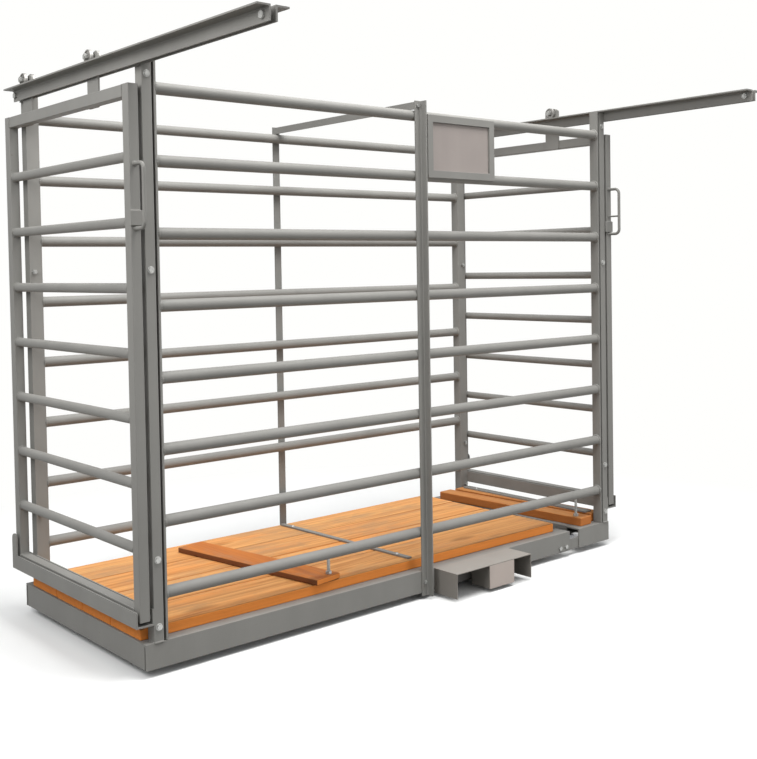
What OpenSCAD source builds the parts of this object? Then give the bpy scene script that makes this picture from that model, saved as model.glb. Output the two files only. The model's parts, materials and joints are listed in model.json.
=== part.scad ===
// Livestock weighing crate: tubular cage with a sliding gate at each end,
// timber deck on a steel base, load cells with levelling feet under the corners.
// X runs along the crate, Y from the near side to the far side, Z up.

/* [Cage] */
// Length between the outer faces of the end posts
crate_len = 2220; // [1800:10:2600]
// Width between the centre planes of the near and far rails
crate_wid = 854; // [760:2:950]
// Number of rails on each long side
rail_count = 8; // [6:1:9]
// Height step from rail to rail
rail_pitch = 220; // [190:1:230]
// Outer diameter of a rail
rail_od = 38; // [32:0.5:42]
// Wall of a rail tube
rail_wall = 2.5; // [2:0.5:4]
// Height of the lowest rail's centre above the deck
low_rail_h = 106; // [85:1:130]

/* [Posts] */
// Width of an end post's leg that faces the gate
post_web = 40; // [38:1:60]
// Width of an end post's outside leg
post_flange = 32; // [25:1:33]
// Thickness of the end posts' angle
post_t = 5; // [4:0.5:6]
// Depth of the angle that closes a side panel, behind the post
stile_w = 42; // [42:1:62]
// Thickness of that angle
stile_t = 7; // [5:1:8]
// Leg of the middle posts' angle
mid_leg = 32; // [30:1:45]
// Thickness of the middle posts' angle
mid_t = 5; // [4:0.5:6]
// Rise of the middle posts above the top rail's centre
mid_rise = 52; // [48:1:60]
// Offset of the middle posts towards the right end
mid_x = 12; // [0:1:40]

/* [Base] */
// Length of base beyond the left posts' outer faces
base_out = 29; // [20:1:80]
// Length of base beyond the right posts' outer faces
base_out_right = 8; // [4:1:80]
// Height of the base angles
base_h = 80; // [70:1:100]
// Width of the base angles' top legs
base_leg = 76; // [70:1:85]
// Thickness of the base angles
base_t = 6; // [5:0.5:8]
// Clearance of the base above the floor
floor_gap = 25; // [20:1:40]
// Length of the separate corner pieces at the right end
corner_len = 203; // [180:1:320]
// Gap between a corner piece and the long side angle
corner_gap = 62; // [30:1:80]
// Lap of a splice plate on each side of the corner gap
splice_lap = 80; // [60:1:110]
// Height of a splice plate
splice_h = 44; // [36:1:60]
// Distance of the first cross tube from the base's left end
cross_in = 251; // [180:1:320]
// Width of the base cross tubes
cross_w = 80; // [70:1:100]
// Height of the base cross tubes
cross_h = 40; // [36:1:46]
// Wall of the base cross tubes
cross_wall = 4; // [3:0.5:5]

/* [Deck] */
// Thickness of a deck plank
plank_t = 36; // [30:1:60]
// Width of a full deck plank
plank_w = 198; // [150:1:205]
// Joint between planks
plank_gap = 2; // [1:0.5:4]
// Width of base flange left bare beside the planks
plank_in = 47; // [42:1:54]
// Bare length of base between the planks' right ends and the corner gap
plank_short = 50; // [30:1:80]
// Width of a timber cleat
cleat_w = 76; // [70:1:110]
// Thickness of the left cleat, which lies on the deck
cleat_t = 20; // [16:1:50]
// Distance of the left cleat's middle from the left posts' outer faces
cleat_in = 660; // [500:5:800]
// Skew of the left cleat on the deck
cleat_skew = 9; // [0:1:12]
// Distance of the first right cleat's middle from the right posts' outer faces
end_cleat_in = 145; // [140:1:180]
// Gap between the two right cleats, which lie on the base
end_cleat_gap = 26; // [16:1:30]
// Skew of the right cleats
end_skew = 3; // [0:0.5:4]
// Width of a steel deck strap
strap_w = 20; // [16:1:30]
// Thickness of a steel deck strap
strap_t = 6; // [4:1:8]
// Offset of the middle deck strap towards the left
strap_back = 21; // [0:1:60]
// Skew of the middle deck strap
strap_skew = 2.5; // [0:0.5:10]
// Width of the strap on the right cleat
end_strap_w = 40; // [24:1:50]

/* [Gates] */
// Width of a gate
gate_wid = 930; // [915:1:960]
// Width of the gate frame's tube
gate_tube = 38; // [36:1:40]
// Depth of the gate frame's tube along the crate
gate_deep = 34; // [34:1:38]
// Wall of the gate frame's tube
gate_wall = 3; // [2:0.5:4]
// Running gap between a gate and the posts
gate_gap = 13; // [13:1:18]
// Setback of the gate's near edge from the post's near face
gate_in = 0; // [0:1:34]
// Drop of the gate's top bar centre below the top rail's centre
gate_drop = 14; // [8:1:22]
// Number of rungs in a gate
rung_count = 7; // [5:1:7]
// Height step from rung to rung
rung_pitch = 197.5; // [180:0.5:198]
// Outer diameter of a rung
rung_od = 32; // [25:0.5:34]
// Wall of a rung tube
rung_wall = 2.5; // [2:0.5:4]
// Drop of a pull handle's top below the gate's top edge
handle_drop = 232; // [180:1:280]
// Height of a pull handle
handle_h = 205; // [160:5:240]
// Reach of a pull handle from the gate
handle_out = 60; // [50:1:75]
// Diameter of the handle's round bar
handle_d = 12; // [10:0.5:14]
// Height of the stop lug on a gate
lug_h = 45; // [30:1:60]

/* [Tracks] */
// Leg of the track angles
track_leg = 42; // [40:1:60]
// Thickness of the track angles
track_t = 5; // [4:0.5:6]
// Slot between the two angles of a track
track_gap = 16; // [14:1:32]
// Length of track beyond the near post
track_out = 700; // [640:5:800]
// Rise of the track's bearing faces above the top rail's centre
track_rise = 103; // [100:1:120]
// Diameter of a trolley wheel
wheel_d = 48; // [40:1:52]
// Width of a trolley wheel
wheel_w = 12; // [12:1:20]
// Diameter of a trolley axle
axle_d = 12; // [10:0.5:14]
// Width of a hanger plate
hanger_w = 76; // [40:1:80]
// Thickness of a hanger plate
hanger_t = 6; // [6:1:10]
// Distance between a gate's two hangers
hanger_step = 510; // [400:5:600]
// Distance of the near hanger from the gate's near edge
hanger_in = 295; // [200:5:300]

/* [Guides] */
// Width of a bottom guide
guide_w = 60; // [60:1:72]
// Height of a bottom guide's sides
guide_h = 50; // [45:1:60]
// Thickness of a bottom guide
guide_t = 5; // [4:0.5:6]
// Height of a guide's underside above the deck
guide_lift = 19; // [5:1:40]
// Height of the tab at a guide's far end
tab_h = 78; // [50:1:90]
// Width of that tab
tab_w = 40; // [30:1:50]

/* [Sign and shelf] */
// Width of the sign
sign_w = 355; // [300:1:400]
// Depth of the sign frame
sign_d = 14; // [12:1:20]
// Width of the sign frame's rim
sign_rim = 27; // [16:1:30]
// Length of the instrument shelf
shelf_w = 408; // [380:1:480]
// Reach of the instrument shelf from the base
shelf_out = 120; // [105:1:130]
// Drop of the shelf's end flanges
shelf_drop = 93; // [85:1:100]
// Thickness of the shelf's sheet
shelf_t = 3; // [2:0.5:4]
// Distance of the junction box from the shelf's left end
box_in = 175; // [120:1:220]
// Width of the junction box
box_w = 135; // [110:1:150]
// Depth of the junction box with its lid
box_d = 98; // [80:1:100]
// Height of the junction box
box_h = 88; // [70:1:88]
// Wall of the junction box
box_wall = 3; // [2:0.5:4]

/* [Load cells] */
// Length of a load cell
cell_len = 130; // [120:1:150]
// Side of a load cell's square section
cell_s = 32; // [28:1:36]
// Diameter of a foot's pad
foot_d = 70; // [55:1:80]
// Diameter of a foot's stud
stud_d = 16; // [12:1:20]

/* [Fasteners and fits] */
// Diameter of the panel bolts
panel_bolt = 10; // [8:1:12]
// Diameter of the light bolts
light_bolt = 8; // [6:1:10]
// Diameter of the heavy bolts
heavy_bolt = 12; // [10:1:14]
// Radial gap of a bolt in its hole
hole_fit = 0.5; // [0.3:0.1:1]
// Radial gap of a wheel on its axle
run_fit = 0.05; // [0.03:0.01:0.08]
// Gap between pieces that seat without a fastener
seat = 0.2; // [0.1:0.05:0.3]

/* [Hidden] */
$fn = 48;
eps = 1;
steel = [0.52, 0.52, 0.50];
zinc = [0.74, 0.75, 0.76];
timber = [0.78, 0.46, 0.22];
pale = [0.68, 0.67, 0.65];
dark = [0.16, 0.16, 0.17];

// Half lengths along X
half = crate_len / 2;
base_left = -half - base_out;
base_right = half + base_out_right;
rail_half = half - post_t - stile_w;
side_end = base_right - corner_len - corner_gap;
plank_end = side_end - plank_short;
end_cleat_x = half - end_cleat_in;

// Reaches in Y from a rail's centre plane
post_in = rail_od / 2 + 1;
fascia_in = rail_od / 2 + seat;
gate_near = gate_in - post_in;
gate_far = gate_near + gate_wid;
stop_gap = 0.5;
stop_far = gate_far + stop_gap + guide_t;

// The part stands centred on the origin between the tracks' near ends and the guides' stops
yn = (post_in + track_out - stop_far) / 2;
yf = yn + crate_wid;
yc = (yn + yf) / 2;
fascia_n = yn - fascia_in;
fascia_f = yf + fascia_in;
post_n = yn - post_in;

// Heights
base_top = floor_gap + base_h;
deck_top = base_top + plank_t;
low_rail = deck_top + low_rail_h;
top_rail = low_rail + (rail_count - 1) * rail_pitch;
function rail_z(i) = top_rail - i * rail_pitch;
track_top = top_rail + track_rise;
post_top = track_top - track_t;
mid_top = top_rail + mid_rise;
mid_low = floor_gap - 12;
cleat_top = deck_top + cleat_t;

// Gate
gate_x = half + gate_gap + gate_deep / 2;
hanger_x = half + gate_gap - hanger_t / 2;
slot_x = half + track_t + track_gap / 2;
gate_top = top_rail - gate_drop + gate_tube / 2;
guide_low = deck_top + guide_lift;
gate_low = guide_low + guide_t + 11;
gate_y0 = yn + gate_near;
gate_y1 = yn + gate_far;
track_bolts_y = [post_n - track_out + 28, yf + post_in - post_web / 2];
// The far hanger stops short of the spacer at the track's far end
hanger_last = track_bolts_y[1] - heavy_bolt - hanger_w / 2 - 8;
hangers_y = [gate_y0 + hanger_in, min(gate_y0 + hanger_in + hanger_step, hanger_last)];
wheel_lift = 0.3;
axle_z = track_top + wheel_d / 2 + wheel_lift;
wheel_x = track_gap / 2 + 0.5 + wheel_w / 2;
handle_top = gate_top - handle_drop;
lug_top = handle_top - handle_h + lug_h + 15;

// Bolt places
nut_k = 0.8;
head_k = 0.64;
hex_k = 1.6 / cos(30);
panel_rows = [top_rail + 38, rail_z(2.5), rail_z(rail_count - 1.5), guide_low - 8];
panel_bolt_x = post_flange / 2;
guide_bolt_z = guide_low + guide_h / 2;
tie_low = top_rail + rail_od / 2 + 2;
tie_bolt_z = mid_top - 17;
tie_bolt_x = mid_x - 3;
foot_bolt_z = floor_gap + base_h / 2;
track_bolt_z = track_top - track_leg + 20;

// Sign, shelf and box
sign_x = mid_x + mid_leg / 2 + 22;
sign_h = rail_pitch + 12;
shelf_x = mid_x + mid_leg / 2 + 34;
box_x = shelf_x + box_in;
shelf_bolts_x = [shelf_x + 60, shelf_x + shelf_w - 60];
shelf_bolt_z = base_top - 30;

// Load cells
cross_first = base_left + cross_in;
cross_step = (plank_end - cross_w / 2 - cross_first) / 3;
cell_xs = [cross_first, end_cleat_x];
pad_t = base_top - cross_h - floor_gap - cell_s;
foot_in = 100;
cell_bolts_in = [60, 96];

// Sweeps of a flat outline: along X its axes are Y and Z, along Y they are X and Z
module along_x(len) {
  rotate([90, 0, 90]) linear_extrude(len) children();
}

module along_y(len) {
  translate([0, len, 0]) rotate([90, 0, 0]) linear_extrude(len) children();
}

module copy_right() {
  mirror([1, 0, 0]) children();
}

module both_ends() {
  children();
  copy_right() children();
}

// Mirrors a near-side piece to the far side
module copy_far() {
  translate([0, 2 * yc, 0]) mirror([0, 1, 0]) children();
}

module both_sides() {
  children();
  copy_far() children();
}

// Rolled angle with its outer corner at the origin and a rounded root
module angle_outline(a, b, t) {
  union() {
    square([a, t]);
    square([t, b]);
    difference() {
      translate([t / 2, t / 2]) square(t * 1.5);
      translate([2 * t, 2 * t]) circle(t);
    }
  }
}

// Square tube outline with rounded corners
module tube_outline(w, h, wall, r) {
  difference() {
    round_square(w, h, r);
    translate([wall, wall]) square([w - 2 * wall, h - 2 * wall]);
  }
}

module round_square(w, h, r) {
  union() {
    translate([r, 0]) square([w - 2 * r, h]);
    translate([0, r]) square([w, h - 2 * r]);
    for (x = [r, w - r], y = [r, h - r]) translate([x, y]) circle(r);
  }
}

module pipe_x(len, od, wall) {
  rotate([0, 90, 0]) difference() {
    cylinder(d = od, h = len, center = true);
    cylinder(d = od - 2 * wall, h = len + 2 * eps, center = true);
  }
}

module pipe_y(len, od, wall) {
  rotate([90, 0, 0]) difference() {
    cylinder(d = od, h = len, center = true);
    cylinder(d = od - 2 * wall, h = len + 2 * eps, center = true);
  }
}

// Bolt along +Z: head below the origin, then the shank and a separate nut at grip
module bolt(d, grip, tail = 4) {
  translate([0, 0, -head_k * d]) cylinder(d = d * hex_k, h = head_k * d, $fn = 6);
  translate([0, 0, -eps / 2]) cylinder(d = d, h = grip + nut_k * d + tail + eps / 2);
  translate([0, 0, grip]) nut(d);
}

module nut(d) {
  difference() {
    cylinder(d = d * hex_k, h = nut_k * d, $fn = 6);
    translate([0, 0, -eps]) cylinder(d = d + 2 * run_fit, h = nut_k * d + 2 * eps);
  }
}

module drill_x(d, len) {
  rotate([0, 90, 0]) cylinder(d = d + 2 * hole_fit, h = len, center = true);
}

module drill_y(d, len) {
  rotate([90, 0, 0]) cylinder(d = d + 2 * hole_fit, h = len, center = true);
}

module drill_z(d, len) {
  cylinder(d = d + 2 * hole_fit, h = len, center = true);
}

// Base

module base_angle(x0, x1) {
  translate([x0, fascia_n, base_top])
    mirror([0, 0, 1]) along_x(x1 - x0) angle_outline(base_leg, base_h, base_t);
}

module side_holes() {
  translate([tie_bolt_x, fascia_n, foot_bolt_z]) drill_y(light_bolt, 4 * base_t);
  for (x = splice_xs) translate([x, fascia_n, splice_z]) drill_y(panel_bolt, 4 * base_t);
}

splice_xs = [side_end - 0.8 * splice_lap, side_end - 0.32 * splice_lap];
splice_z = floor_gap + 20;
splice_len = corner_gap + 2 * splice_lap;

module base_side_near() {
  color(steel) difference() {
    base_angle(base_left, side_end);
    side_holes();
    for (x = shelf_bolts_x) translate([x, fascia_n, shelf_bolt_z]) drill_y(light_bolt, 4 * base_t);
    translate([left_rod[0], left_rod[1], base_top]) drill_z(heavy_bolt, 4 * base_t);
  }
}

module base_side_far() {
  color(steel) copy_far() difference() {
    base_angle(base_left, side_end);
    side_holes();
  }
}

module base_corner_pieces() {
  color(steel) difference() {
    both_sides() base_angle(side_end + corner_gap, base_right);
    translate([right_rod[0], right_rod[1], base_top]) drill_z(heavy_bolt, 4 * base_t);
  }
}

// End angles run between the side angles, with the top leg cut back to clear theirs
module end_angle() {
  union() {
    translate([0, fascia_n + 2 * base_t, floor_gap])
      cube([base_t, fascia_f - fascia_n - 4 * base_t, base_h - base_t]);
    translate([0, fascia_n + base_leg, base_top - base_t])
      cube([base_leg, fascia_f - fascia_n - 2 * base_leg, base_t]);
  }
}

module base_ends() {
  color(steel) {
    translate([base_left, 0, 0]) end_angle();
    translate([base_right, 0, 0]) copy_right() end_angle();
  }
}

// Four tubes carry the planks and one the first right cleat; the outer two stand on the cells
module base_cross_tubes() {
  color(steel) difference() {
    for (x = [for (k = [0:3]) cross_first + k * cross_step, end_cleat_x])
      translate([x - cross_w / 2, fascia_n + base_leg, base_top - cross_h])
        along_y(fascia_f - fascia_n - 2 * base_leg) tube_outline(cross_w, cross_h, cross_wall, cross_wall);
    for (x = cell_xs) both_sides() cell_holes(x, base_top - cross_h, 3 * cross_wall);
  }
}

module base_splices() {
  color(steel) both_sides() difference() {
    translate([side_end - splice_lap, fascia_n + base_t, floor_gap]) cube([splice_len, base_t, splice_h]);
    for (x = splice_xs) translate([x, fascia_n + base_t, splice_z]) drill_y(panel_bolt, 4 * base_t);
  }
}

module base_bolts() {
  color(zinc) both_sides() for (x = splice_xs)
    translate([x, fascia_n, splice_z]) rotate([-90, 0, 0]) bolt(panel_bolt, 2 * base_t);
}

// Load cells and feet, one set under each corner

module at_cells() {
  for (x = cell_xs) both_sides() translate([x, fascia_n + foot_in, 0]) children();
}

module cell_holes(x, z, len) {
  for (y = cell_bolts_in) translate([x, fascia_n + foot_in + y, z]) drill_z(heavy_bolt, len);
}

module cell_pads() {
  color(steel) at_cells() difference() {
    translate([-cell_s, cell_bolts_in[0] - 20, floor_gap + cell_s])
      cube([2 * cell_s, cell_bolts_in[1] - cell_bolts_in[0] + 40, pad_t]);
    for (y = cell_bolts_in) translate([0, y, floor_gap + cell_s]) drill_z(heavy_bolt, 4 * pad_t);
  }
}

// Shear beam: drilled at both ends, with a round pocket in each flank
module load_cells() {
  color(zinc) at_cells() difference() {
    translate([-cell_s / 2, -18, floor_gap]) cube([cell_s, cell_len, cell_s]);
    translate([0, 0, floor_gap]) drill_z(stud_d, 4 * cell_s);
    for (y = cell_bolts_in) translate([0, y, floor_gap]) drill_z(heavy_bolt, 4 * cell_s);
    for (s = [-1, 1]) translate([s * cell_s / 2, 30, floor_gap + cell_s / 2])
      rotate([0, 90, 0]) cylinder(d = cell_s * 0.7, h = cell_s * 0.5, center = true);
  }
}

module cell_bolts() {
  color(zinc) at_cells() {
    for (y = cell_bolts_in) translate([0, y, floor_gap]) bolt(heavy_bolt, cell_s + pad_t + cross_wall);
  }
}

module levelling_feet() {
  color(zinc) at_cells() union() {
    cylinder(d = foot_d, h = 8);
    translate([0, 0, 8]) cylinder(d1 = foot_d * 0.8, d2 = stud_d * 1.6, h = 6);
    translate([0, 0, 14]) cylinder(d = stud_d * hex_k, h = floor_gap - 14, $fn = 6);
    translate([0, 0, floor_gap - eps]) cylinder(d = stud_d, h = cell_s + pad_t / 2 + eps);
  }
}

// Deck

plank_y0 = fascia_n + plank_in;
deck_wid = fascia_f - fascia_n - 2 * plank_in;
plank_step = plank_w + plank_gap;
full_planks = floor((deck_wid + plank_gap) / plank_step);
last_w = deck_wid - full_planks * plank_step;
post_clear = 2;
plank_out = half + base_out - 6;
plank_cut = rail_half - post_clear;
post_inner = post_n + post_web + post_clear;

// A plank that passes beside a left post stops short of it
module plank(y, w) {
  shy = y < post_inner || y + w > 2 * yc - post_inner;
  reach = shy ? plank_cut : plank_out;
  translate([-reach, y, base_top]) cube([plank_end + reach, w, plank_t]);
}

module deck_planks() {
  color(timber) difference() {
    union() {
      for (i = [0:full_planks - 1]) plank(plank_y0 + i * plank_step, plank_w);
      if (last_w > 4 * plank_gap) plank(plank_y0 + full_planks * plank_step, last_w);
    }
    translate([left_rod[0], left_rod[1], base_top]) drill_z(heavy_bolt, 4 * plank_t);
  }
}

// Rods stand on the base flange, in the near ends of the left and the first right cleat
rod_y = yn - fascia_in + base_leg - heavy_bolt * hex_k / 2 - 1.7;
left_cleat_x = cleat_in - half;
left_rod = [left_cleat_x + (yc - rod_y) * tan(cleat_skew), rod_y];
right_rod = [end_cleat_x + (yc - rod_y) * tan(end_skew) - cleat_w / 6, rod_y];
rod_top = low_rail;
rod_low = base_top - base_t - nut_k * heavy_bolt - 6;

// Skewed timber whose middle line crosses the crate's middle plane at x
module cleat(x, y0, y1, z, t, skew) {
  mid = (y0 + y1) / 2;
  translate([x + (yc - mid) * tan(skew), mid, z]) rotate([0, 0, skew])
    translate([-cleat_w / 2, (y0 - y1) / 2, 0]) cube([cleat_w, y1 - y0, t]);
}

module left_cleat() {
  color(timber) difference() {
    cleat(left_cleat_x, plank_y0 + 5, 2 * yc - plank_y0 - 5, deck_top, cleat_t, cleat_skew);
    translate([left_rod[0], left_rod[1], deck_top]) drill_z(heavy_bolt, 4 * cleat_t);
  }
}

// Two timbers level with the deck: one bedded on the near flange, one between the right posts
module right_cleat() {
  color(timber) {
    difference() {
      cleat(end_cleat_x, fascia_n + 20, fascia_f - base_leg - 4, base_top, plank_t, end_skew);
      translate([right_rod[0], right_rod[1], base_top]) drill_z(heavy_bolt, 4 * plank_t);
    }
    cleat(end_strap_x, post_inner + 4, 2 * yc - post_inner - 4, base_top, plank_t, end_skew);
  }
}

module cleat_rods() {
  color(zinc) for (r = [left_rod, right_rod])
    translate([r[0], r[1], rod_low]) cylinder(d = heavy_bolt, h = rod_top - rod_low);
}

// A nut on top of each cleat and one below the base flange
module cleat_nuts() {
  color(zinc) {
    translate([left_rod[0], left_rod[1], cleat_top]) nut(heavy_bolt);
    translate([right_rod[0], right_rod[1], deck_top]) nut(heavy_bolt);
    for (r = [left_rod, right_rod]) translate([r[0], r[1], base_top - base_t - nut_k * heavy_bolt]) nut(heavy_bolt);
  }
}

strap_len = deck_wid - 30;
end_strap_x = end_cleat_x + cleat_w + end_cleat_gap;
end_strap_len = 2 * (yc - post_inner) - 60;
strap_end = 70;

module strap_bar(w, len) {
  difference() {
    translate([-w / 2, -len / 2, deck_top]) cube([w, len, strap_t]);
    for (s = [-1, 1]) translate([0, s * (len / 2 - strap_end), deck_top]) drill_z(light_bolt, 4 * strap_t);
  }
}

module at_mid_strap() {
  translate([-strap_back, yc, 0]) rotate([0, 0, strap_skew]) children();
}

module at_end_strap() {
  translate([end_strap_x, yc, 0]) children();
}

module deck_straps() {
  color(steel) {
    at_mid_strap() strap_bar(strap_w, strap_len);
    at_end_strap() strap_bar(end_strap_w, end_strap_len);
  }
}

module strap_heads(len) {
  for (s = [-1, 1]) translate([0, s * (len / 2 - strap_end), deck_top + strap_t]) intersection() {
    translate([0, 0, -light_bolt * 0.5]) sphere(r = light_bolt * 1.15);
    cylinder(r = light_bolt * 2, h = light_bolt);
  }
}

// Round heads on the straps, the shanks inside the timber left out
module strap_bolts() {
  color(zinc) {
    at_mid_strap() strap_heads(strap_len);
    at_end_strap() strap_heads(end_strap_len);
  }
}

// Cage

// An end post is an angle round the outside edge of its panel's stile, which is an angle too
module left_end_posts() {
  both_sides() difference() {
    translate([-half, post_n, base_top]) linear_extrude(post_top - base_top)
      angle_outline(post_flange, post_web, post_t);
    for (z = panel_rows) translate([-half + panel_bolt_x, post_n, z]) drill_y(panel_bolt, 4 * post_t);
    translate([-half, guide_bolt_y, guide_bolt_z]) drill_x(panel_bolt, 4 * post_t);
    translate([-half, 2 * yc - track_bolts_y[1], track_bolt_z]) drill_x(heavy_bolt, 4 * post_t);
    translate([-half - eps, post_n - eps, post_top - track_t])
      cube([track_t + eps, post_web + 2 * eps, track_t + eps]);
  }
}

guide_bolt_y = post_n + post_web / 2;

module left_posts() {
  color(steel) left_end_posts();
}

module right_posts() {
  color(steel) copy_right() left_end_posts();
}

stile_low = base_top + 2;
stile_back = post_n + post_web;

// The stile's inner leg carries the rails, its web faces the inside and ends at the post
module panel_stiles() {
  color(steel) both_ends() both_sides() difference() {
    translate([-rail_half, stile_back, stile_low]) rotate([0, 0, 180])
      linear_extrude(post_top - stile_low) angle_outline(stile_w, post_web, stile_t);
    for (z = panel_rows) translate([-half + panel_bolt_x, stile_back, z]) drill_y(panel_bolt, 4 * stile_t);
  }
}

module side_rails() {
  for (i = [0:rail_count - 1]) translate([0, yn, rail_z(i)]) pipe_x(2 * rail_half, rail_od, rail_wall);
}

module near_rails() {
  color(steel) side_rails();
}

module far_rails() {
  color(steel) copy_far() side_rails();
}

module panel_bolts() {
  color(zinc) both_ends() both_sides() for (z = panel_rows)
    translate([-half + panel_bolt_x, post_n, z]) rotate([-90, 0, 0]) bolt(panel_bolt, post_web);
}

// Angle with one leg against the rails and the other standing outwards
module mid_post() {
  difference() {
    translate([mid_x + mid_leg / 2, fascia_n, mid_low]) rotate([0, 0, 180])
      linear_extrude(mid_top - mid_low) angle_outline(mid_leg, mid_leg, mid_t);
    translate([tie_bolt_x, fascia_n, tie_bolt_z]) drill_y(light_bolt, 4 * mid_t);
    translate([tie_bolt_x, fascia_n, foot_bolt_z]) drill_y(light_bolt, 4 * mid_t);
  }
}

module near_mid_post() {
  color(steel) mid_post();
}

module far_mid_post() {
  color(steel) copy_far() mid_post();
}

tie_t = 5;

module top_tie() {
  color(steel) difference() {
    union() {
      translate([mid_x - mid_leg / 2, fascia_n, mid_top - 4])
        mirror([0, 0, 1]) along_y(fascia_f - fascia_n) angle_outline(mid_leg, mid_top - 4 - tie_low, tie_t);
      both_sides() translate([mid_x - mid_leg / 2, fascia_n, tie_low]) cube([mid_leg, tie_t, mid_top - 4 - tie_low]);
    }
    both_sides() translate([tie_bolt_x, fascia_n, tie_bolt_z]) drill_y(light_bolt, 4 * tie_t);
  }
}

module mid_post_bolts() {
  color(zinc) both_sides() translate([tie_bolt_x, fascia_n - mid_t, 0]) {
    translate([0, 0, tie_bolt_z]) rotate([-90, 0, 0]) bolt(light_bolt, mid_t + tie_t);
    translate([0, 0, foot_bolt_z]) rotate([-90, 0, 0]) bolt(light_bolt, mid_t + base_t);
  }
}

// Gate tracks: two angles back to back with a slot for the hangers

track_len = track_out + crate_wid + 2 * post_in;

module track_holes(x) {
  for (y = track_bolts_y) translate([x, y, track_bolt_z]) drill_x(heavy_bolt, 4 * track_t);
}

module track_inner() {
  color(steel) both_ends() difference() {
    translate([-half - track_t, post_n - track_out, track_top])
      mirror([0, 0, 1]) along_y(track_len) angle_outline(track_leg, track_leg, track_t);
    track_holes(-half);
  }
}

module track_outer() {
  color(steel) both_ends() difference() {
    translate([-half - track_t - track_gap, post_n - track_out, track_top])
      mirror([0, 0, 1]) mirror([1, 0, 0]) along_y(track_len) angle_outline(track_leg, track_leg, track_t);
    track_holes(-half - track_t - track_gap);
  }
}

module track_spacers() {
  color(steel) both_ends() for (y = track_bolts_y)
    translate([-slot_x, y, track_bolt_z]) pipe_x(track_gap, heavy_bolt * 2, heavy_bolt / 2 - hole_fit);
}

// The far bolt also passes through the far post
module track_bolts() {
  grip = 2 * track_t + track_gap;
  color(zinc) both_ends() for (k = [0, 1])
    translate([-half - grip, track_bolts_y[k], track_bolt_z])
      rotate([0, 90, 0]) bolt(heavy_bolt, grip + k * post_t);
}

// Bottom guides: a trough outside the posts, closed at the far end by a stop and a round tab

guide_y0 = post_n;
guide_y1 = yn + stop_far;

module guide() {
  difference() {
    union() {
      translate([-half - guide_w, guide_y0, guide_low]) along_y(guide_y1 - guide_y0) difference() {
        square([guide_w, guide_h]);
        translate([guide_t, guide_t]) square([guide_w - 2 * guide_t, guide_h]);
      }
      translate([-half - guide_w, guide_y1 - guide_t, guide_low]) cube([guide_w, guide_t, guide_h]);
      translate([-half - guide_w, guide_y1 - tab_w, guide_low]) along_x(guide_t) union() {
        square([tab_w, guide_h + tab_h - tab_w / 2]);
        translate([tab_w / 2, guide_h + tab_h - tab_w / 2]) circle(tab_w / 2);
      }
    }
    both_sides() translate([-half, guide_bolt_y, guide_bolt_z]) drill_x(panel_bolt, 4 * guide_t);
  }
}

module left_guide() {
  color(steel) guide();
}

module right_guide() {
  color(steel) copy_right() guide();
}

module guide_bolts() {
  color(zinc) both_ends() both_sides() translate([-half - guide_t, guide_bolt_y, guide_bolt_z])
    rotate([0, 90, 0]) bolt(panel_bolt, guide_t + post_t);
}

// Sign between the two top rails, beside the near middle post

sign_z = rail_z(0.5) - sign_h / 2;
sign_lip = 8;
sign_back = 3;
sign_plate_t = 3;

module sign_frame() {
  color(steel) translate([sign_x, fascia_n - sign_d, sign_z]) difference() {
    cube([sign_w, sign_d, sign_h]);
    translate([sign_rim, -eps, sign_rim])
      cube([sign_w - 2 * sign_rim, sign_d - sign_back + eps, sign_h - 2 * sign_rim]);
    translate([sign_rim + sign_lip, 0, sign_rim + sign_lip])
      cube([sign_w - 2 * sign_rim - 2 * sign_lip, 2 * sign_d, sign_h - 2 * sign_rim - 2 * sign_lip]);
  }
}

module sign_plate() {
  inset = sign_rim + seat;
  color(pale) translate([sign_x + inset, fascia_n - sign_back - sign_plate_t, sign_z + inset])
    cube([sign_w - 2 * inset, sign_plate_t, sign_h - 2 * inset]);
}

// Instrument shelf: folded sheet bolted to the base, with the junction box under its front edge

module instrument_shelf() {
  color(pale) difference() {
    translate([shelf_x, fascia_n - shelf_out, base_top - shelf_drop]) difference() {
      cube([shelf_w, shelf_out, shelf_drop]);
      translate([shelf_t, -eps, -eps])
        cube([shelf_w - 2 * shelf_t, shelf_out - shelf_t + eps, shelf_drop - shelf_t + eps]);
      translate([shelf_t, 0, -eps]) cube([shelf_w - 2 * shelf_t, 2 * shelf_out, shelf_drop - 50]);
    }
    for (x = shelf_bolts_x) translate([x, fascia_n, shelf_bolt_z]) drill_y(light_bolt, 4 * shelf_t);
  }
}

module shelf_bolts() {
  color(zinc) for (x = shelf_bolts_x) translate([x, fascia_n - shelf_t, shelf_bolt_z])
    rotate([-90, 0, 0]) bolt(light_bolt, shelf_t + base_t);
}

lid_t = 3;
box_y = fascia_n - shelf_out + lid_t;
box_z = base_top - shelf_t - box_h;
gland_d = 20;
gland_y = box_y + box_d / 2;
gland_z = box_z + box_h / 2;

module junction_box() {
  color(pale) translate([box_x, box_y, box_z]) difference() {
    cube([box_w, box_d - lid_t, box_h]);
    translate([box_wall, -eps, box_wall])
      cube([box_w - 2 * box_wall, box_d - lid_t - box_wall + eps, box_h - 2 * box_wall]);
    translate([box_w, gland_y - box_y, gland_z - box_z]) drill_x(gland_d * 0.8, 4 * box_wall);
  }
}

module junction_box_lid() {
  color(pale) translate([box_x, box_y - lid_t, box_z]) cube([box_w, lid_t, box_h]);
}

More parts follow.
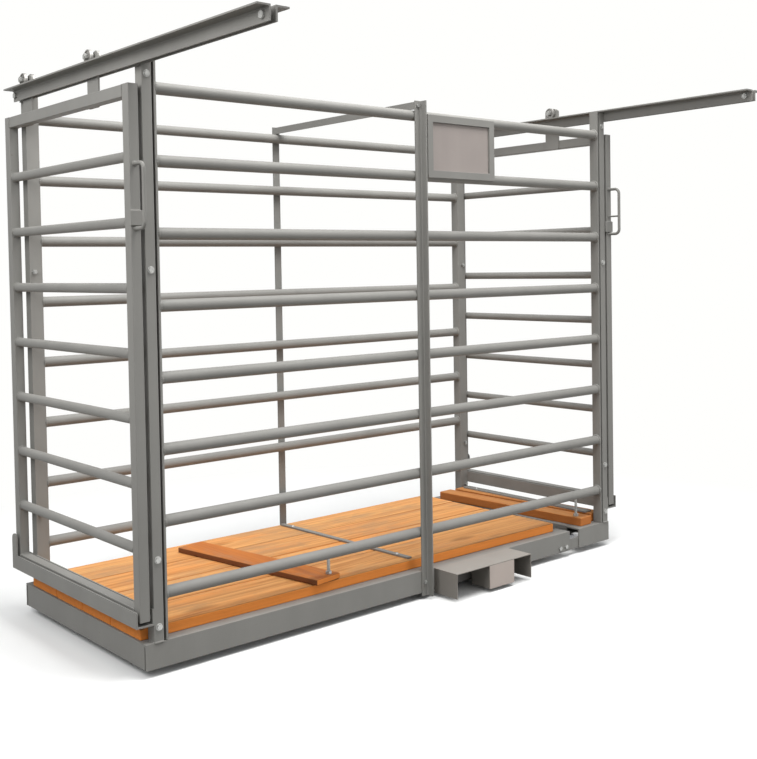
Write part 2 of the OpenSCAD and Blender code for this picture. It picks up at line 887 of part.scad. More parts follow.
// Gland in the box's hidden side: hexagon, dome nut and a clear bore
module cable_gland() {
  color(dark) translate([box_x + box_w, gland_y, gland_z]) rotate([0, 90, 0]) difference() {
    union() {
      translate([0, 0, -box_wall - 6]) cylinder(d = gland_d * 0.8, h = box_wall + 7);
      cylinder(d = gland_d * 1.2, h = 7, $fn = 6);
      translate([0, 0, 7]) cylinder(d = gland_d, h = 8);
      translate([0, 0, 15]) cylinder(d1 = gland_d, d2 = gland_d * 0.6, h = 6);
    }
    cylinder(d = gland_d * 0.4, h = 100, center = true);
  }
}

// Gates, drawn at the left end and mirrored to the right

gate_r = 3;

module gate_stiles() {
  for (y = [gate_y0, gate_y1 - gate_tube]) translate([-gate_x - gate_deep / 2, y, gate_low]) difference() {
    linear_extrude(gate_top - gate_low) round_square(gate_deep, gate_tube, gate_r);
    translate([gate_wall, gate_wall, -eps])
      cube([gate_deep - 2 * gate_wall, gate_tube - 2 * gate_wall, gate_top - gate_low - gate_wall + eps]);
  }
}

bar_len = gate_wid - 2 * gate_tube;

module gate_bars() {
  for (z = [gate_low, gate_top - gate_tube]) translate([-gate_x - gate_deep / 2, gate_y0 + gate_tube, z])
    along_y(bar_len) tube_outline(gate_deep, gate_tube, gate_wall, gate_r);
}

module gate_rungs() {
  for (k = [1:rung_count]) translate([-gate_x, gate_y0 + gate_wid / 2, gate_low + gate_tube / 2 + k * rung_pitch])
    pipe_y(bar_len, rung_od, rung_wall);
}

hanger_low = gate_top - gate_tube;
hanger_high = axle_z + 0.32 * wheel_d;

// Plate on the inner face of the gate's top bar, up through the track's slot to the axle
module gate_hangers() {
  for (y = hangers_y) difference() {
    translate([-hanger_x - hanger_t / 2, y - hanger_w / 2, hanger_low])
      along_x(hanger_t) round_square(hanger_w, hanger_high - hanger_low, gate_tube / 4);
    translate([-hanger_x, y, axle_z]) rotate([0, 90, 0])
      cylinder(d = axle_d + 2 * run_fit, h = 4 * hanger_t, center = true);
  }
}

side_gap = 0.3;
sleeve_len = wheel_x - wheel_w / 2 - hanger_t / 2 - side_gap;
axle_half = wheel_x + wheel_w / 2 + side_gap + nut_k * axle_d + 2;

// Axle with a sleeve on each side of the hanger and a nut outside each wheel
module axles() {
  for (y = hangers_y) translate([-hanger_x, y, axle_z]) {
    rotate([0, 90, 0]) cylinder(d = axle_d, h = 2 * axle_half, center = true);
    for (s = [-1, 1]) {
      translate([s * (hanger_t / 2 + sleeve_len / 2), 0, 0])
        pipe_x(sleeve_len, axle_d * 1.7, axle_d * 0.35 - run_fit);
      translate([s * (wheel_x + wheel_w / 2 + side_gap), 0, 0]) rotate([0, s * 90, 0]) nut(axle_d);
    }
  }
}

// Wheel turned from one outline: tread, dished sides and a raised hub round the bore
module wheel() {
  bore_r = axle_d / 2 + run_fit;
  rotate([0, 90, 0]) rotate_extrude() polygon([
    [bore_r, -wheel_w / 2], [bore_r + 5, -wheel_w / 2], [bore_r + 6, -wheel_w / 2 + 3],
    [wheel_d / 2 - 5, -wheel_w / 2 + 3], [wheel_d / 2 - 4, -wheel_w / 2], [wheel_d / 2 - 1, -wheel_w / 2],
    [wheel_d / 2, -wheel_w / 2 + 1], [wheel_d / 2, wheel_w / 2 - 1], [wheel_d / 2 - 1, wheel_w / 2],
    [wheel_d / 2 - 4, wheel_w / 2], [wheel_d / 2 - 5, wheel_w / 2 - 3], [bore_r + 6, wheel_w / 2 - 3],
    [bore_r + 5, wheel_w / 2], [bore_r, wheel_w / 2]
  ]);
}

module wheel_pair(y) {
  for (s = [-1, 1]) translate([-hanger_x + s * wheel_x, y, axle_z]) wheel();
}

// Pull handle bent from round bar: two legs, two elbows and a grip
handle_r = 20;

module handle_bar() {
  leg = handle_out - handle_d / 2 - handle_r;
  grip = handle_h - handle_d - 2 * handle_r;
  translate([-gate_x, gate_y0, handle_top - handle_h / 2]) union() {
    for (s = [-1, 1]) {
      translate([0, -leg, s * (grip / 2 + handle_r)]) rotate([-90, 0, 0]) cylinder(d = handle_d, h = leg);
      translate([0, -leg, s * grip / 2]) rotate([0, s > 0 ? 0 : 180, 0])
        rotate([0, -90, 0]) rotate([0, 0, 270]) rotate_extrude(angle = 90)
          translate([handle_r, 0]) circle(d = handle_d);
    }
    translate([0, -leg - handle_r, 0]) cylinder(d = handle_d, h = grip, center = true);
  }
}

// Thin brace across the right gate's handle
module handle_brace() {
  translate([-gate_x, gate_y0 - handle_out + handle_d, handle_top - 0.6 * handle_h])
    rotate([-90, 0, 0]) cylinder(d = handle_d * 0.6, h = handle_out - handle_d);
}

// Lug on the near edge, reaching across to the post
module gate_lug() {
  translate([-gate_x - gate_deep / 2 - 2, gate_y0 - 6, lug_top - lug_h])
    cube([gate_deep + gate_gap, 6, lug_h]);
}

module left_gate_stiles() {
  color(steel) gate_stiles();
}

module right_gate_stiles() {
  color(steel) copy_right() gate_stiles();
}

module left_gate_bars() {
  color(steel) gate_bars();
}

module right_gate_bars() {
  color(steel) copy_right() gate_bars();
}

module left_gate_rungs() {
  color(steel) gate_rungs();
}

module right_gate_rungs() {
  color(steel) copy_right() gate_rungs();
}

module left_gate_hangers() {
  color(steel) gate_hangers();
}

module right_gate_hangers() {
  color(steel) copy_right() gate_hangers();
}

module left_gate_handle() {
  color(steel) handle_bar();
}

module right_gate_handle() {
  color(steel) copy_right() union() {
    handle_bar();
    handle_brace();
  }
}

module left_gate_lug() {
  color(steel) gate_lug();
}

module right_gate_lug() {
  color(steel) copy_right() gate_lug();
}

module left_axles() {
  color(zinc) axles();
}

module right_axles() {
  color(zinc) copy_right() axles();
}

module left_wheels_near() {
  color(zinc) wheel_pair(hangers_y[0]);
}

module left_wheels_far() {
  color(zinc) wheel_pair(hangers_y[1]);
}

module right_wheels_near() {
  color(zinc) copy_right() wheel_pair(hangers_y[0]);
}

module right_wheels_far() {
  color(zinc) copy_right() wheel_pair(hangers_y[1]);
}

base_side_near();
base_side_far();
base_corner_pieces();
base_ends();
base_cross_tubes();
base_splices();
base_bolts();
cell_pads();
load_cells();
cell_bolts();
levelling_feet();
deck_planks();
left_cleat();
right_cleat();
cleat_rods();
cleat_nuts();
deck_straps();
strap_bolts();
left_posts();
right_posts();
panel_stiles();
near_rails();
far_rails();
near_mid_post();
far_mid_post();
top_tie();
panel_bolts();
mid_post_bolts();
track_inner();
track_outer();
track_spacers();
track_bolts();
left_guide();
right_guide();
guide_bolts();
sign_frame();
sign_plate();
instrument_shelf();
shelf_bolts();
junction_box();
junction_box_lid();
cable_gland();
left_gate_stiles();
left_gate_bars();
left_gate_rungs();
left_gate_hangers();
left_gate_handle();
left_gate_lug();
left_axles();
left_wheels_near();
left_wheels_far();
right_gate_stiles();
right_gate_bars();
right_gate_rungs();
right_gate_hangers();
right_gate_handle();
right_gate_lug();
right_axles();
right_wheels_near();
right_wheels_far();
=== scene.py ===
import json
import math
import bmesh
import bpy
import numpy as np
from mathutils import Matrix, Vector


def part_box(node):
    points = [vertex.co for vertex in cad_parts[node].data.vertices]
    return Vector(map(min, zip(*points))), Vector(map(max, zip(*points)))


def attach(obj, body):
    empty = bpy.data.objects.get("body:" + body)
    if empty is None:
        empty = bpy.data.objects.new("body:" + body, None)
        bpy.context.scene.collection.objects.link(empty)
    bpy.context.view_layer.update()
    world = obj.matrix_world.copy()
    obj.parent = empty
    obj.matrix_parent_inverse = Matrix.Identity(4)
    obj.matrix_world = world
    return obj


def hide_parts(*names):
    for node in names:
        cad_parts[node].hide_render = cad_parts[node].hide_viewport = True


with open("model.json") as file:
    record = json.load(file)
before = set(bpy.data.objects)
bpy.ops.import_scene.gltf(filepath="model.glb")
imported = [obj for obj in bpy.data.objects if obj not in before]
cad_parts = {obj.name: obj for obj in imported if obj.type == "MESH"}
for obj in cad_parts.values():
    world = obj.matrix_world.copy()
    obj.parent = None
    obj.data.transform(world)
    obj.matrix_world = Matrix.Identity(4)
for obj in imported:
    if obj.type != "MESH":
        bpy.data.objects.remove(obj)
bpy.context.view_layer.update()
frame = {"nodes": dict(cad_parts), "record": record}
nodes = frame["nodes"]
record = frame["record"]
slotOf = {part["node"]: part["material_slot"] for part in record["subparts"]}
bodyOf = {node: body for body, members in record["behaviour"]["bodies"].items() for node in members}
draw = np.random.default_rng(11)        # small chances: board heights, bead ripples
fullTurn = 2 * np.pi
print("stage 1: frame loaded,", len(nodes), "nodes")


# a socket that can be written in sums: value + 1, 1 - value, value * other
class Mix:
    def __init__(self, sheet, socket):
        self.sheet, self.socket = sheet, socket

    def sum(self, how, a, b=0.0):
        return self.sheet.put("ShaderNodeMath", dict(operation=how), {0: a, 1: b})

    def __add__(self, b): return self.sum("ADD", self, b)
    def __radd__(self, b): return self.sum("ADD", b, self)
    def __sub__(self, b): return self.sum("SUBTRACT", self, b)
    def __rsub__(self, b): return self.sum("SUBTRACT", b, self)
    def __mul__(self, b): return self.sum("MULTIPLY", self, b)
    def __rmul__(self, b): return self.sum("MULTIPLY", b, self)
    def __truediv__(self, b): return self.sum("DIVIDE", self, b)
    def __rtruediv__(self, b): return self.sum("DIVIDE", b, self)
    def floor(self): return self.sum("FLOOR", self)

    def above(self, low, high):         # 0 below low, 1 above high, straight between
        span = {"Value": self, "From Min": low, "From Max": high}
        return self.sheet.put("ShaderNodeMapRange", dict(clamp=True), span)


class Finish:
    def __init__(self, name):
        self.material = bpy.data.materials.new(name)
        self.material.use_nodes = True
        self.tree = self.material.node_tree
        self.shader = self.tree.nodes["Principled BSDF"]
        self.at = self.put("ShaderNodeTexCoord", {}, {}, "Object")

    # any node: its kind, its settings, then the values or links of its sockets
    def put(self, kind, settings, sockets, out=0):
        made = self.tree.nodes.new(kind)
        for key, value in settings.items():
            if key == "stops":
                ramp = made.color_ramp
                while len(ramp.elements) < len(value):
                    ramp.elements.new(0.5)
                for element, (place, colour) in zip(ramp.elements, value):
                    element.position, element.color = place, (*colour, 1)
            else:
                setattr(made, key, value)
        for key, value in sockets.items():
            self.feed(made.inputs[key], value)
        return Mix(self, made.outputs[out])

    def feed(self, socket, value):
        if isinstance(value, Mix):
            self.tree.links.new(value.socket, socket)
        elif isinstance(value, (tuple, list)) and len(value) == 3 and socket.type == "RGBA":
            socket.default_value = (*value, 1)
        else:
            socket.default_value = value

    def noise(self, scale, detail=3.0, rough=0.5, where=None, warp=0.0):
        spots = {"Vector": where or self.at, "Scale": scale, "Detail": detail, "Roughness": rough,
                 "Distortion": warp}
        return self.put("ShaderNodeTexNoise", {}, spots, "Fac")

    def blend(self, part, a, b):
        return self.put("ShaderNodeMix", dict(data_type="RGBA"), {0: part, 6: a, 7: b}, 2)

    def ramp(self, part, *stops):
        return self.put("ShaderNodeValToRGB", dict(stops=stops), {"Fac": part}, "Color")

    def vector(self, how, a, b):
        return self.put("ShaderNodeVectorMath", dict(operation=how), {0: a, 1: b})

    def axis(self, letter):
        return self.put("ShaderNodeSeparateXYZ", {}, {0: self.at}, letter)

    def facing(self, letter):
        normal = self.put("ShaderNodeNewGeometry", {}, {}, "Normal")
        return self.put("ShaderNodeSeparateXYZ", {}, {0: normal}, letter)

    def bump(self, height, strength, distance):
        return self.put("ShaderNodeBump", {}, {"Height": height, "Strength": strength, "Distance": distance})

    def set(self, **sockets):
        names = dict(colour="Base Color", rough="Roughness", metal="Metallic", normal="Normal",
                     level="Specular IOR Level")
        for key, value in sockets.items():
            self.feed(self.shader.inputs[names[key]], value)
        return self.material


def shade(tone, by):
    return [min(1.0, c * by) for c in tone]


# sprayed paint: cloudy tone, orange-peel bump, a little dust on what faces up, specks of primer
spray = dict(cloud=3.1, streak=9.0, fall=(1.0, 1.0, 0.12), peel=420.0, wavy=140.0, peelDepth=0.0006, speck=95.0,
             primer=(0.16, 0.12, 0.09), primerShare=0.55, dark=0.88, light=1.10, rough=0.46, level=0.32)


def sprayPaint(name, tone, dust=0.05, chips=0.62):
    f = Finish(name)
    cloud = f.noise(spray["cloud"], 4.0, 0.6)
    streak = f.noise(spray["streak"], 3.0, 0.6, f.vector("MULTIPLY", f.at, spray["fall"]))
    up = f.facing("Z").above(0.35, 0.95)
    dark, light = shade(tone, spray["dark"]), shade(tone, spray["light"])
    colour = f.ramp(cloud * 0.6 + streak * 0.4, (0.30, dark), (0.72, light))
    colour = f.blend(up * dust, colour, [min(1, c * 1.35 + 0.05) for c in tone])
    speck = f.noise(spray["speck"], 2.0, 0.4).above(chips + 0.13, chips + 0.16) * cloud.above(0.50, 0.60)
    colour = f.blend(speck * spray["primerShare"], colour, spray["primer"])
    peel = f.bump(f.noise(spray["peel"], 2.0) + f.noise(spray["wavy"]) * 0.6, 0.16, spray["peelDepth"])
    rough = spray["rough"] + cloud * 0.16 + up * 0.08
    return f.set(colour=colour, rough=rough, normal=peel, level=spray["level"])


# zinc plate: bright, with clouded spangle and fine turning marks
zinc = dict(tone=(0.43, 0.43, 0.415), rough=0.40, spangle=240.0, cloud=60.0, marks=900.0, marksDepth=0.0003,
            dark=0.72, light=1.12, metal=0.92)


def zincPlate(name, tone=zinc["tone"], rough=zinc["rough"]):
    f = Finish(name)
    spangle = f.put("ShaderNodeTexVoronoi", {}, {"Vector": f.at, "Scale": zinc["spangle"]}, "Color")
    grey = f.put("ShaderNodeSeparateColor", {}, {0: spangle})
    cloud = f.noise(zinc["cloud"])
    dark, light = shade(tone, zinc["dark"]), shade(tone, zinc["light"])
    colour = f.ramp(cloud * 0.7 + grey * 0.3, (0.25, dark), (0.75, light))
    marks = f.bump(f.noise(zinc["marks"], 2.0), 0.12, zinc["marksDepth"])
    return f.set(colour=colour, rough=rough + cloud * 0.22, metal=zinc["metal"], normal=marks)


# sawn softwood: growth bands and fibres stretched along the board, knots, dark checks, its own colour on the
# sawn sides: redder on the deck and right cleats, a dark painted shade on the left cleat
wood = dict(band=3.4, bandWarp=1.6, fibre=2.0, knot=1.1, wander=1.6, flush=2.6, stain=2.9,
            knotDark=0.34, checkDark=0.30, jointDark=0.22, sawnDark=0.72, flushTint=(0.98, 1.05, 1.15),
            stainTone=(0.33, 0.215, 0.125), stainShare=0.50, rough=0.62, bumpDepth=0.0010, level=0.30)


def sawnTimber(name, along, light, deep, side, width, edge, ends=None):
    f = Finish(name)
    lengthways = along == "X"
    counted = (f.axis("Y" if lengthways else "X") - edge) / width
    board = counted.floor()
    share = counted - board                 # 0 to 1 across one board
    tint = f.put("ShaderNodeTexWhiteNoise", dict(noise_dimensions="1D"), {"W": board + 7.0}, "Value")
    offset = f.put("ShaderNodeCombineXYZ", {}, {"X": board * 3.7, "Y": board * 1.9, "Z": board * 5.3})
    moved = f.vector("ADD", f.at, offset)   # each board from another place in the grain

    def grain(a, b):                        # a along the board, b across it
        return f.vector("MULTIPLY", moved, (a, b, b) if lengthways else (b, a, b))

    wander = f.noise(wood["wander"], 3.0, 0.55, grain(0.55, 9.0))
    band = f.noise(wood["band"], 5.0, 0.55, grain(0.42, 9.0), wood["bandWarp"])
    fibre = f.noise(wood["fibre"], 4.0, 0.7, grain(1.2, 70.0))
    knots = f.put("ShaderNodeTexVoronoi", {}, {"Vector": grain(1.6, 5.0), "Scale": wood["knot"]}, "Distance")
    knot = 1 - knots.above(0.06, 0.17)
    tone = band * 0.62 + fibre * 0.30 + tint * 0.26 - 0.06
    between = [(a + b) / 2 for a, b in zip(light, deep)]
    colour = f.ramp(tone, (0.40, deep), (0.55, between), (0.72, light))
    sawn = f.ramp(tone, (0.30, shade(side, wood["sawnDark"])), (0.74, side))
    if ends:
        lengthFacing = f.facing(along)
        sawn = f.blend((lengthFacing * lengthFacing).above(0.5, 0.8), sawn, ends)
    # faces that don't look up take the sawn side colour, which on the left cleat is a painted shade
    top = f.facing("Z").above(0.4, 0.9)
    colour = f.blend(top, sawn, colour)
    colour = f.blend(knot * 0.8, colour, shade(deep, wood["knotDark"]))
    checks = fibre.above(0.66, 0.74) * wander.above(0.48, 0.60)
    colour = f.blend(checks * 0.55, colour, shade(deep, wood["checkDark"]))
    flush = f.noise(wood["flush"], 4.0, 0.6, grain(0.9, 3.2)).above(0.50, 0.68)
    colour = f.blend(flush * 0.45, colour, [c * k for c, k in zip(side, wood["flushTint"])])
    stain = f.noise(wood["stain"], 6.0, 0.7, grain(0.7, 1.6)).above(0.49, 0.64)
    colour = f.blend(stain * top * wood["stainShare"], colour, wood["stainTone"])
    joint = share.above(0.970, 0.992) + (1 - share.above(0.008, 0.030))
    colour = f.blend(joint * top * 0.85, colour, shade(deep, wood["jointDark"]))
    ridges = f.bump(fibre + band * 0.5, 0.5, wood["bumpDepth"])
    return f.set(colour=colour, rough=wood["rough"] + band * 0.22, normal=ridges, level=wood["level"])


def mouldedBlack(name, dark=(0.012, 0.012, 0.013), light=(0.030, 0.030, 0.032)):
    f = Finish(name)
    pores = f.noise(700.0, 2.0)
    return f.set(colour=f.ramp(pores, (0.3, dark), (0.7, light)), rough=0.52 + pores * 0.15,
                 normal=f.bump(pores, 0.2, 0.0003))


deck = dict(boards=4, gap=0.002, edge=0.005, steps=40, uneven=0.0016, bow=0.0007)
planks = dict(width=0.200, edge=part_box("deck_planks")[0][1] - deck["gap"] / 2)
oneBoard = dict(width=9, edge=-4)           # wider than a cleat, so no joint falls on it
finishes = dict(
    grey_paint=sprayPaint("crateGrey", (0.240, 0.234, 0.217)),
    pale_paint=sprayPaint("shelfGrey", (0.256, 0.236, 0.212), dust=0.12),
    signFace=sprayPaint("signFace", (0.335, 0.294, 0.272), dust=0.0, chips=0.9),
    lidGrey=sprayPaint("lidGrey", (0.50, 0.430, 0.385), dust=0.0, chips=0.9),
    zinc=zincPlate("zincPlate"),
    cell_steel=zincPlate("cellNickel", (0.55, 0.56, 0.58), 0.26),
    wheelSteel=zincPlate("wheelSteel", (0.34, 0.33, 0.315), 0.42),
    timber=sawnTimber("deckTimber", "X", light=(0.83, 0.430, 0.152), deep=(0.49, 0.184, 0.046),
                      side=(0.90, 0.29, 0.052), **planks),
    # left cleat: its dark side colour is painted shade along its flanks; its ends keep the sawn orange
    leftCleat=sawnTimber("leftCleatTimberPaintedShadeSides", "Y", light=(0.60, 0.198, 0.034), deep=(0.42, 0.118, 0.022),
                         side=(0.19, 0.066, 0.021), ends=(0.78, 0.25, 0.045), **oneBoard),
    rightCleat=sawnTimber("rightCleatTimber", "Y", light=(0.66, 0.31, 0.100), deep=(0.40, 0.140, 0.036),
                          side=(0.55, 0.180, 0.040), **oneBoard),
    black_plastic=mouldedBlack("glandBlack"),
)
ownFinish = {"sign_plate": "signFace", "junction_box_lid": "lidGrey"}
for wheels in ("left_wheels_near", "left_wheels_far", "right_wheels_near", "right_wheels_far"):
    ownFinish[wheels] = "wheelSteel"
for name, piece in nodes.items():
    piece.data.materials.clear()
    piece.data.materials.append(finishes[ownFinish.get(name, slotOf[name])])
print("stage 2: finishes on", len(nodes), "nodes")


# lowest and highest corner of a node, as arrays
def corners(node):
    return [np.array(corner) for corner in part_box(node)]


# a grid is (shapes, rows, columns, 3) with its columns closed
# its rows close too on a ring, and end in poles if not
def gridQuads(grid, ring):
    shapes, rows, columns = grid.shape[:3]
    first = (np.arange(shapes) * rows * columns)[:, None, None]
    row = np.arange(rows if ring else rows - 1)[None, :, None]
    column = np.arange(columns)[None, None, :]
    below, beside = (row + 1) % rows, (column + 1) % columns
    corner = ((row, column), (row, beside), (below, beside), (below, column))
    quad = [first + r * columns + c for r, c in corner]
    return np.stack(np.broadcast_arrays(*quad), -1).reshape(-1, 4)


def mergeDoubles(mesh, distance):
    shell = bmesh.new()
    shell.from_mesh(mesh)
    bmesh.ops.remove_doubles(shell, verts=shell.verts, dist=distance)
    return shell


def smoothMesh(shell, mesh):
    shell.to_mesh(mesh)
    shell.free()
    mesh.polygons.foreach_set("use_smooth", np.ones(len(mesh.polygons), bool))


# puts a mesh into the scene on the body of the node that it belongs to
def seatPiece(name, mesh, like, stands):
    piece = bpy.data.objects.new(name, mesh)
    bpy.context.scene.collection.objects.link(piece)
    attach(piece, bodyOf[like])
    if stands:
        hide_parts(*stands)
    return piece


# joins grids into one mesh, merges the poles and turns the faces outwards
def addPiece(name, grids, like, finish=None, stands=(), ring=False):
    points = np.concatenate([grid.reshape(-1, 3) for grid in grids])
    starts = np.cumsum([0] + [grid.size // 3 for grid in grids[:-1]])
    quads = np.concatenate([gridQuads(grid, ring) + start for grid, start in zip(grids, starts)])
    mesh = bpy.data.meshes.new(name)
    mesh.from_pydata(points.tolist(), [], quads.tolist())
    shell = mergeDoubles(mesh, 1e-7)
    bmesh.ops.recalc_face_normals(shell, faces=shell.faces)
    smoothMesh(shell, mesh)
    mesh.materials.append(finishes[finish or slotOf[like]])
    return seatPiece(name, mesh, like, stands)


def flatFaces(piece):       # keeps broad faces flat beside their rounded edges
    piece.modifiers.new("flatFaces", "WEIGHTED_NORMAL").weight = 100


# board along X: a rounded rectangle carried from 0 to length, drawn in over its last few millimetres
def boardGrid(length, width, thick, edge=0.004, steps=20, least=0.0004):
    turn = np.linspace(0, np.pi / 2, 5)
    end, draws = edge * (1 - np.cos(turn)), edge * (1 - np.sin(turn))
    middle = np.linspace(edge, length - edge, steps)[1:-1]
    along = np.concatenate([[0], end, middle, length - end[::-1], [length]])[:, None]
    inset = np.concatenate([[0], draws, middle * 0, draws[::-1], [0]])[:, None]
    full = np.ones(len(along))[:, None]
    full[[0, -1]] = 0
    angle = (np.arange(4)[:, None] * np.pi / 2 + turn[None, :]).ravel()
    sideways = np.repeat([1, -1, -1, 1], len(turn))
    upwards = np.repeat([1, 1, -1, -1], len(turn))
    radius = np.maximum(edge - inset, least)
    y = full * ((width / 2 - inset - radius) * sideways + radius * np.cos(angle))
    z = full * ((thick / 2 - inset - radius) * upwards + radius * np.sin(angle))
    return np.stack([along + 0 * y, y, z], -1)[None]


# turns a board about the vertical and sets its start
def setBoard(grid, start, turn=0.0):
    c, s = math.cos(turn), math.sin(turn)
    return grid @ np.array([[c, s, 0], [-s, c, 0], [0, 0, 1]]) + np.array(start)


# deck: boards side by side, each thinner by a small chance and bowed by a sine along its length
def deckBoards():
    low, high = corners("deck_planks")
    step = (high[1] - low[1] + deck["gap"]) / deck["boards"]
    grids = []
    for k, (drop, phase) in enumerate(draw.uniform(0, 1, (deck["boards"], 2))):
        thick = high[2] - low[2] - drop * deck["uneven"]
        grid = boardGrid(high[0] - low[0], step - deck["gap"], thick, deck["edge"], deck["steps"])
        grid[..., 2] += deck["bow"] * (np.sin(grid[..., 0] * 3.1 + phase * 6) - 1)
        y = low[1] + step * (k + 0.5) - deck["gap"] / 2
        grids.append(setBoard(grid, (low[0], y, low[2] + thick / 2)))
    flatFaces(addPiece("deckBoards", grids, "deck_planks", stands=["deck_planks"]))


rails = dict(count=8, bead=0.0042)
posts = dict(web=0.040, flange=0.032, bead=0.0036)

# the left cleat lies on the deck, over its near edge and short of its far one
# the right cleats lie beside each other on the base, the outer one between the posts
cleats = dict(leftWidth=0.118, leftSkew=math.radians(9.5), leftShift=-0.028, leftShort=0.068, leftOver=0.024,
              rightWidth=0.076, rightSkew=math.radians(3), between=0.102, postClear=0.006)


# cleat: a board across the deck, turned by its skew, whose corners reach from near to away
def cleatGrid(x, near, away, skew, width, thick, bottom):
    length = (away - near) / math.cos(skew) - width * math.tan(skew)
    line = np.array([-math.sin(skew), math.cos(skew), 0])
    start = np.array([x, (near + away) / 2, bottom + thick / 2]) - line * length / 2
    return setBoard(boardGrid(length, width, thick), start, np.pi / 2 + skew)


def leftCleat():
    low, high = corners("left_cleat")
    skew, middle = cleats["leftSkew"], (low + high) / 2
    near, away = low[1] - cleats["leftOver"], high[1] - cleats["leftShort"]
    x = middle[0] + (middle[1] - (near + away) / 2) * math.tan(skew) + cleats["leftShift"]
    grid = cleatGrid(x, near, away, skew, cleats["leftWidth"], high[2] - low[2], low[2])
    flatFaces(addPiece("leftCleatBoard", [grid], "left_cleat", "leftCleat", ["left_cleat"]))


def rightCleats():
    low, high = corners("right_cleat")
    skew, width = cleats["rightSkew"], cleats["rightWidth"]
    nearPost, farPost = [corner[1] for corner in corners("right_posts")]
    inside = posts["web"] + cleats["postClear"]
    spans = ((low[1], high[1]), (nearPost + inside, farPost - inside))
    grids = []
    for k, (near, away) in enumerate(spans):
        x = low[0] + width / 2 + (high[1] - (near + away) / 2) * math.tan(skew) + k * cleats["between"]
        grids.append(cleatGrid(x, near, away, skew, width, high[2] - low[2], low[2]))
    flatFaces(addPiece("rightCleatBoards", grids, "right_cleat", "rightCleat", ["right_cleat"]))


threaded = dict(pitch=0.00175, depth=0.0009, perTurn=6, around=16)


# threaded rod: the radius rises and falls with height / pitch - angle / full turn
def threadedRods():
    low, high = corners("cleat_rods")
    radius, y = (high[1] - low[1]) / 2, (low[1] + high[1]) / 2
    rows = int((high[2] - low[2]) / threaded["pitch"] * threaded["perTurn"])
    z = np.linspace(low[2], high[2], rows)[:, None]
    angle = np.linspace(0, fullTurn, threaded["around"], endpoint=False)[None, :]
    wave = np.abs((z / threaded["pitch"] - angle / fullTurn) % 1 * 2 - 1)
    r = radius - threaded["depth"] * wave
    r[[0, -1]] = 0
    r[[1, -2]] = radius - 2 * threaded["depth"]
    rod = np.stack([r * np.cos(angle), r * np.sin(angle), z + 0 * r], -1)
    places = np.array([[low[0] + radius, y, 0], [high[0] - radius, y, 0]])
    addPiece("threadedRods", [rod[None] + places[:, None, None, :]], "cleat_rods", stands=["cleat_rods"])


# ring about one axis: out is the distance from that axis, along runs on it; both are (shapes, rows, columns)
def ringGrid(centres, axis, out, along, angle):
    one, two = [k for k in range(3) if k != axis]
    parts = [None] * 3
    centre = np.asarray(centres, float)[:, None, None, :]
    parts[axis] = centre[..., axis] + along + 0 * out
    parts[one] = centre[..., one] + out * np.cos(angle)
    parts[two] = centre[..., two] + out * np.sin(angle)
    return np.stack(np.broadcast_arrays(*parts), -1)


bead = dict(around=44, across=8, ripples=17, depth=0.17, uneven=0.12, stand=0.2, stride=0.0042, perRipple=6,
            blunt=12, skewed=(0.36, 0.48, 0.80))      # skewed is a direction that no joint runs along


# weld round a tube: a small rippled ring in the corner between tube and plate; way is +1 or -1 along the axis
def ringBeads(centres, axis, way, radius, size):
    angle = np.linspace(0, fullTurn, bead["around"], endpoint=False)[None, :, None]
    section = np.linspace(0, fullTurn, bead["across"], endpoint=False)[None, None, :]
    phase = draw.uniform(0, fullTurn, (len(centres), 1, 1))
    ripple = bead["depth"] * np.sin(bead["ripples"] * angle + phase)
    swell = size * (1 + ripple + bead["uneven"] * np.sin(2 * angle + 2 * phase))
    way = np.asarray(way, float).reshape(-1, 1, 1)
    stand = bead["stand"] * size
    out = radius + stand + swell * np.cos(section)
    return ringGrid(centres, axis, out, way * (stand + swell * np.sin(section)), angle)


# weld along a straight joint: a rippled bar whose radius falls to nothing at both ends
def runBeads(starts, ends, size):
    starts = np.asarray(starts, float)[:, None, None, :]
    run = np.asarray(ends, float)[:, None, None, :] - starts
    length = np.linalg.norm(run, axis=-1, keepdims=True)
    steps = int(np.max(length) / bead["stride"] * bead["perRipple"]) + 8
    part = np.linspace(0, 1, steps)[None, :, None, None]
    section = np.linspace(0, fullTurn, bead["across"], endpoint=False)[None, None, :, None]
    side = np.cross(run / length, np.array(bead["skewed"]))
    side /= np.linalg.norm(side, axis=-1, keepdims=True)
    lift = np.cross(run / length, side)
    phase = draw.uniform(0, fullTurn, (len(starts), 1, 1, 1))
    swell = size * np.sqrt(1 - (2 * part - 1) ** bead["blunt"])
    swell = swell * (1 + bead["depth"] * np.sin(fullTurn * part * length / bead["stride"] + phase))
    return starts + run * part + swell * (side * np.cos(section) + lift * np.sin(section))


def cageWelds():
    rings = []
    for node in ("near_rails", "far_rails"):
        low, high = corners(node)
        radius = (high[1] - low[1]) / 2
        heights = np.linspace(low[2] + radius, high[2] - radius, rails["count"])
        places = np.array([(x, low[1] + radius, z) for x in (low[0], high[0]) for z in heights])
        rings.append(ringBeads(places, 0, np.repeat([1, -1], rails["count"]), radius, rails["bead"]))
    addPiece("railWelds", rings, "near_rails", ring=True)
    runs = []
    for node, face, way in (("left_posts", 0, 1), ("right_posts", 1, -1)):
        both = corners(node)
        x, z = both[face][0], both[0][2]
        for y, inward in ((both[0][1], 1), (both[1][1], -1)):
            runs.append(((x, y, z), (x, y + inward * posts["web"], z)))
            runs.append(((x, y, z), (x + way * posts["flange"], y, z)))
    addPiece("postFootWelds", [runBeads(*zip(*runs), posts["bead"])], "left_posts")


gates = dict(tube=0.038, rungs=7, bead=0.0026, handleBar=0.006, hanger=0.076)


